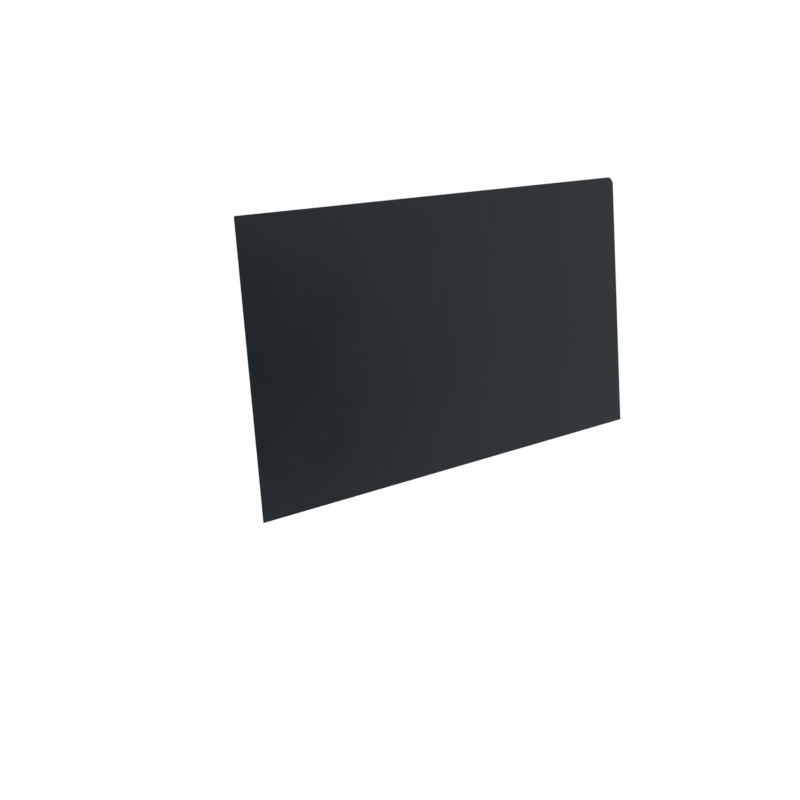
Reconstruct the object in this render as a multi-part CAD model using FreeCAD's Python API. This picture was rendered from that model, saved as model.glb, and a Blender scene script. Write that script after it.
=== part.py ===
import FreeCAD, Part
import math
import os

# A monitor privacy filter: one stiff sheet of louvre film, in the 24-inch size of the 16:9 shape.
# All sizes are in millimetres. The sheet lies flat with its matte front face up: X runs along its width,
# Y towards its top edge and Z out of its front face. The origin is under its middle, on its back face.

# The sheet, at the film's own thickness
sheet_width = 531.0
sheet_height = 299.0
sheet_thickness = 0.55

# Its outline: the top right corner is rounded, and the other three are cut square, with just the point off
round_corner_radius = 9.0
square_corner_radius = 1.0

# The rim of each face, which the cutting die rolls over a little
rim_radius = 0.12

FRONT = FreeCAD.Vector(0, 0, 1)
QUARTER_TURN = math.pi / 2

# Each corner's side along X and along Y, and its radius, counterclockwise from the top right
CORNERS = [
    (1, 1, round_corner_radius),
    (-1, 1, square_corner_radius),
    (-1, -1, square_corner_radius),
    (1, -1, square_corner_radius),
]


def corner_arc(index):
    """The arc that rounds one corner of the outline, on the plane of the back face."""
    side_x, side_y, radius = CORNERS[index]
    centre = FreeCAD.Vector(side_x * (sheet_width / 2 - radius), side_y * (sheet_height / 2 - radius), 0)
    start = index * QUARTER_TURN
    return Part.ArcOfCircle(Part.Circle(centre, FRONT, radius), start, start + QUARTER_TURN)


def outline():
    """The sheet's closed outline, centred on the origin: the corner arcs, joined by straight cuts."""
    arcs = [corner_arc(index) for index in range(len(CORNERS))]
    edges = []
    for arc, next_arc in zip(arcs, arcs[1:] + arcs[:1]):
        edges.append(arc.toShape())
        edges.append(Part.LineSegment(arc.EndPoint, next_arc.StartPoint).toShape())
    return Part.Wire(edges)


def filter_sheet():
    """The whole sheet: the outline at the film's thickness, with the rims of both faces rolled over."""
    blank = Part.Face(outline()).extrude(FRONT * sheet_thickness)
    faces = sorted(blank.Faces, key=lambda face: face.CenterOfMass.z)
    back_face, front_face = faces[0], faces[-1]
    return blank.makeFillet(rim_radius, back_face.Edges + front_face.Edges)


os.makedirs("parts", exist_ok=True)
filter_sheet().exportStep("parts/filter_sheet.step")
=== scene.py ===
import math

import bpy
from mathutils import Matrix, Vector


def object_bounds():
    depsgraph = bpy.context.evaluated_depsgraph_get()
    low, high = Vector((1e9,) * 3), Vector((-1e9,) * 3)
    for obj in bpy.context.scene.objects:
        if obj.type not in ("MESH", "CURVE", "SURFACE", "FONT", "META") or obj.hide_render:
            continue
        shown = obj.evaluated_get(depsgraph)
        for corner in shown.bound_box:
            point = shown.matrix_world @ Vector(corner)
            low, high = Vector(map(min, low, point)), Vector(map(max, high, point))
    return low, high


# A monitor privacy filter, lying on a plain pale floor with its matte front face up.
# Lengths are in metres and angles in degrees.

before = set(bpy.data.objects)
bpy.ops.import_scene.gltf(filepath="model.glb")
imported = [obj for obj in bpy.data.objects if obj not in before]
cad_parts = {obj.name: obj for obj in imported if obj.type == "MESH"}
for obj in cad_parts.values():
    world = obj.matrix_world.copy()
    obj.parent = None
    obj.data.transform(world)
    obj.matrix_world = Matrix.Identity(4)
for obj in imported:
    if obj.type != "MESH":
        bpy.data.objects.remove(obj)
cad_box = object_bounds()
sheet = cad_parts["filter_sheet"]

# Camera: over the sheet's left edge, turned on its side so that the sheet's top edge is uppermost
CAMERA_AIM = (-0.0836, -0.0597, 0.0)
CAMERA_DISTANCE = 1.2656
CAMERA_AZIMUTH = 161.41
CAMERA_ELEVATION = 50.0
CAMERA_ROLL = 100.41
CAMERA_LENS_MM = 53.79

# Strength at which the floor and the surround show as white
WHITE = 1.0

# Floor: pale, with a glow that grows from a little at the sheet to white further out
FLOOR_HALF_WIDTH = 8.0
FLOOR_GAP = 0.00002
FLOOR_COLOUR = (0.88, 0.88, 0.88, 1.0)
FLOOR_LIFT = 0.16
FLOOR_FADE_START = 0.3
FLOOR_FADE_END = 1.2

# Surround: white where it is seen, apart from one dark spot high up, which the sheet's left end mirrors
SURROUND_COLOUR = (1.0, 1.0, 1.0, 1.0)
SURROUND_LIGHT = 0.39
DARK_LIGHT = 0.0
DARK_AZIMUTH = -19.2
DARK_ELEVATION = 58.5
DARK_FADE_START = 4.0
DARK_FADE_END = 8.0

# Key lamp: large and soft, on the camera's side
KEY_PLACE = (-2.45, 0.7, 4.4)
KEY_AIM = (0.0, 0.0, 0.0)
KEY_SIZE = (4.0, 4.0)
KEY_WATTS = 215.0

# Film: dark, with faint bands along its louvres
FILM_DARK = (0.0055, 0.0080, 0.0106, 1.0)
FILM_LIGHT = (0.0091, 0.0132, 0.0176, 1.0)
STREAK_WIDTH = 0.003
STREAK_LENGTH = 0.6
STREAK_DETAIL = 2.0

# Coat: matte, with little gloss and a slightly blue sheen, over slow waves and a fine grain
COAT_SPECULAR = 0.23
COAT_TINT = (0.92, 0.985, 1.0, 1.0)
FRONT_ROUGHNESS = (0.16, 0.26)
BACK_ROUGHNESS = 0.15
MOTTLE_SIZE = 0.06
MOTTLE_DETAIL = 3.0
WAVE_SIZE = 0.14
WAVE_DETAIL = 1.0
WAVE_HEIGHT = 0.001
GRAIN_SIZE = 0.0015
GRAIN_DETAIL = 2.0
GRAIN_HEIGHT = 0.00004

# Cut edge: black and dull
EDGE_COLOUR = (0.004, 0.0045, 0.005, 1.0)
EDGE_ROUGHNESS = 0.6

# Least upright part of a normal on the front face, and of one on either flat face
FRONT_FACING = 0.5
FLAT_FACING = 0.9

# Scale that leaves places as they are
UNSCALED = 1.0

# Places of a colour mix node's sockets
MIX_SHARE = 0
MIX_A = 6
MIX_B = 7
MIX_RESULT = 2


def node(tree, kind, inputs=None, **settings):
    """A new shader node, with each input linked to the socket, or set to the value, that it is given."""
    made = tree.nodes.new(kind)
    for name, value in settings.items():
        setattr(made, name, value)
    for name, value in (inputs or {}).items():
        if isinstance(value, bpy.types.NodeSocket):
            tree.links.new(value, made.inputs[name])
        else:
            made.inputs[name].default_value = value
    return made


def calculate(tree, operation, *values):
    """One step of arithmetic on numbers."""
    return node(tree, "ShaderNodeMath", dict(enumerate(values)), operation=operation).outputs["Value"]


def calculate_vector(tree, operation, result, *values):
    """One step of arithmetic on vectors, whose result is a Vector or a Value."""
    made = node(tree, "ShaderNodeVectorMath", dict(enumerate(values)), operation=operation)
    return made.outputs[result]


def mix_colour(tree, share, a, b):
    """Colour a where the share is 0 and b where it is 1."""
    inputs = {MIX_SHARE: share, MIX_A: a, MIX_B: b}
    return node(tree, "ShaderNodeMix", inputs, data_type="RGBA").outputs[MIX_RESULT]


def between(tree, value, low, high, start=0.0, end=1.0):
    """A number that goes from low to high as the value goes from start to end."""
    inputs = {"Value": value, "From Min": start, "From Max": end, "To Min": low, "To Max": high}
    return node(tree, "ShaderNodeMapRange", inputs).outputs["Result"]


def noise(tree, places, size, detail):
    """Soft random spots of about the given size."""
    inputs = {"Vector": places, "Scale": 1 / size, "Detail": detail}
    return node(tree, "ShaderNodeTexNoise", inputs).outputs["Fac"]


def bump(tree, height, distance, normal=None):
    """A normal tilted by a height, on top of another bump if one is given."""
    inputs = {"Height": height, "Distance": distance}
    if normal:
        inputs["Normal"] = normal
    return node(tree, "ShaderNodeBump", inputs).outputs["Normal"]


def empty_material(name):
    """A new material with no nodes in it."""
    material = bpy.data.materials.new(name)
    material.use_nodes = True
    material.node_tree.nodes.clear()
    return material


def film_material():
    """The sheet's finish: banded film under its coat on both faces, and black on the cut edge."""
    material = empty_material("louvre_film_finish")
    tree = material.node_tree
    coords = node(tree, "ShaderNodeTexCoord")
    places = coords.outputs["Object"]
    facing = node(tree, "ShaderNodeSeparateXYZ", {"Vector": coords.outputs["Normal"]}).outputs["Z"]
    on_front = calculate(tree, "GREATER_THAN", facing, FRONT_FACING)
    on_face = calculate(tree, "GREATER_THAN", calculate(tree, "ABSOLUTE", facing), FLAT_FACING)

    spread = (1 / STREAK_WIDTH, 1 / STREAK_LENGTH, UNSCALED)
    along_louvres = calculate_vector(tree, "MULTIPLY", "Vector", places, spread)
    streaks = noise(tree, along_louvres, UNSCALED, STREAK_DETAIL)
    film = mix_colour(tree, streaks, FILM_DARK, FILM_LIGHT)
    colour = mix_colour(tree, on_face, EDGE_COLOUR, film)

    mottle = noise(tree, places, MOTTLE_SIZE, MOTTLE_DETAIL)
    front_roughness = between(tree, mottle, *FRONT_ROUGHNESS)
    face_roughness = between(tree, on_front, BACK_ROUGHNESS, front_roughness)
    roughness = between(tree, on_face, EDGE_ROUGHNESS, face_roughness)

    waves = noise(tree, places, WAVE_SIZE, WAVE_DETAIL)
    grain = noise(tree, places, GRAIN_SIZE, GRAIN_DETAIL)
    normal = bump(tree, waves, WAVE_HEIGHT)
    normal = bump(tree, grain, GRAIN_HEIGHT, normal)

    inputs = {"Base Color": colour, "Roughness": roughness, "Normal": normal}
    inputs["Specular IOR Level"] = COAT_SPECULAR
    inputs["Specular Tint"] = COAT_TINT
    surface = node(tree, "ShaderNodeBsdfPrincipled", inputs).outputs["BSDF"]
    node(tree, "ShaderNodeOutputMaterial", {"Surface": surface})
    return material


def seen_directly(tree):
    """1 for a ray from the camera, straight or by way of a mirror or glass, and 0 for other light."""
    path = node(tree, "ShaderNodeLightPath")
    seen = calculate(tree, "MAXIMUM", path.outputs["Is Camera Ray"], path.outputs["Is Glossy Ray"])
    return calculate(tree, "MAXIMUM", seen, path.outputs["Is Transmission Ray"])


def floor_material():
    """A pale matte floor that takes shadows, with a glow that is seen but lights nothing."""
    material = empty_material("floor_white")
    tree = material.node_tree
    places = node(tree, "ShaderNodeTexCoord").outputs["Object"]
    away = calculate_vector(tree, "LENGTH", "Value", places)
    fade = between(tree, away, FLOOR_LIFT, WHITE, FLOOR_FADE_START, FLOOR_FADE_END)
    lift = calculate(tree, "MULTIPLY", seen_directly(tree), fade)
    matte = node(tree, "ShaderNodeBsdfDiffuse", {"Color": FLOOR_COLOUR}).outputs["BSDF"]
    glow = node(tree, "ShaderNodeEmission", {"Strength": lift}).outputs["Emission"]
    both = node(tree, "ShaderNodeAddShader", {0: matte, 1: glow}).outputs["Shader"]
    node(tree, "ShaderNodeOutputMaterial", {"Surface": both})
    return material


def make_floor():
    """A square floor, just under the sheet."""
    half = FLOOR_HALF_WIDTH
    top = cad_box[0].z - FLOOR_GAP
    corners = [(-half, -half, top), (half, -half, top), (half, half, top), (-half, half, top)]
    mesh = bpy.data.meshes.new("floor")
    mesh.from_pydata(corners, [], [(0, 1, 2, 3)])
    mesh.materials.append(floor_material())
    floor = bpy.data.objects.new("floor", mesh)
    bpy.context.scene.collection.objects.link(floor)


def towards(azimuth, elevation):
    """The unit vector that points to an azimuth and an elevation."""
    azimuth = math.radians(azimuth)
    elevation = math.radians(elevation)
    level = math.cos(elevation)
    return Vector((level * math.cos(azimuth), level * math.sin(azimuth), math.sin(elevation)))


def aimed(place, back):
    """The pose of a lamp or camera at a place, with its back turned to a direction."""
    return Matrix.Translation(place) @ back.to_track_quat("Z", "Y").to_matrix().to_4x4()


def make_surround():
    """The world: white with its dark spot where it is seen, and an even light for all the rest."""
    world = bpy.data.worlds.new("studio")
    bpy.context.scene.world = world
    world.use_nodes = True
    tree = world.node_tree
    tree.nodes.clear()
    direction = node(tree, "ShaderNodeTexCoord").outputs["Generated"]
    dark_middle = towards(DARK_AZIMUTH, DARK_ELEVATION)
    nearness = calculate_vector(tree, "DOT_PRODUCT", "Value", direction, dark_middle)
    fade_start = math.cos(math.radians(DARK_FADE_START))
    fade_end = math.cos(math.radians(DARK_FADE_END))
    seen = between(tree, nearness, WHITE, DARK_LIGHT, fade_end, fade_start)
    strength = between(tree, seen_directly(tree), SURROUND_LIGHT, seen)
    inputs = {"Color": SURROUND_COLOUR, "Strength": strength}
    background = node(tree, "ShaderNodeBackground", inputs).outputs["Background"]
    node(tree, "ShaderNodeOutputWorld", {"Surface": background})


def make_key():
    """The one lamp, a soft box that faces the middle of the sheet."""
    lamp = bpy.data.lights.new("key", "AREA")
    lamp.shape = "RECTANGLE"
    lamp.size, lamp.size_y = KEY_SIZE
    lamp.energy = KEY_WATTS
    key = bpy.data.objects.new("key", lamp)
    bpy.context.scene.collection.objects.link(key)
    key.matrix_world = aimed(KEY_PLACE, Vector(KEY_PLACE) - Vector(KEY_AIM))


def make_camera():
    """The camera, at its distance from its aim and rolled on its own axis."""
    lens = bpy.data.cameras.new("camera")
    lens.lens = CAMERA_LENS_MM
    camera = bpy.data.objects.new("camera", lens)
    bpy.context.scene.collection.objects.link(camera)
    back = towards(CAMERA_AZIMUTH, CAMERA_ELEVATION)
    place = Vector(CAMERA_AIM) + CAMERA_DISTANCE * back
    roll = Matrix.Rotation(math.radians(CAMERA_ROLL), 4, "Z")
    camera.matrix_world = aimed(place, back) @ roll
    bpy.context.scene.camera = camera


sheet.data.materials[0] = film_material()
make_floor()
make_surround()
make_key()
make_camera()
bpy.context.scene.view_settings.view_transform = "Standard"
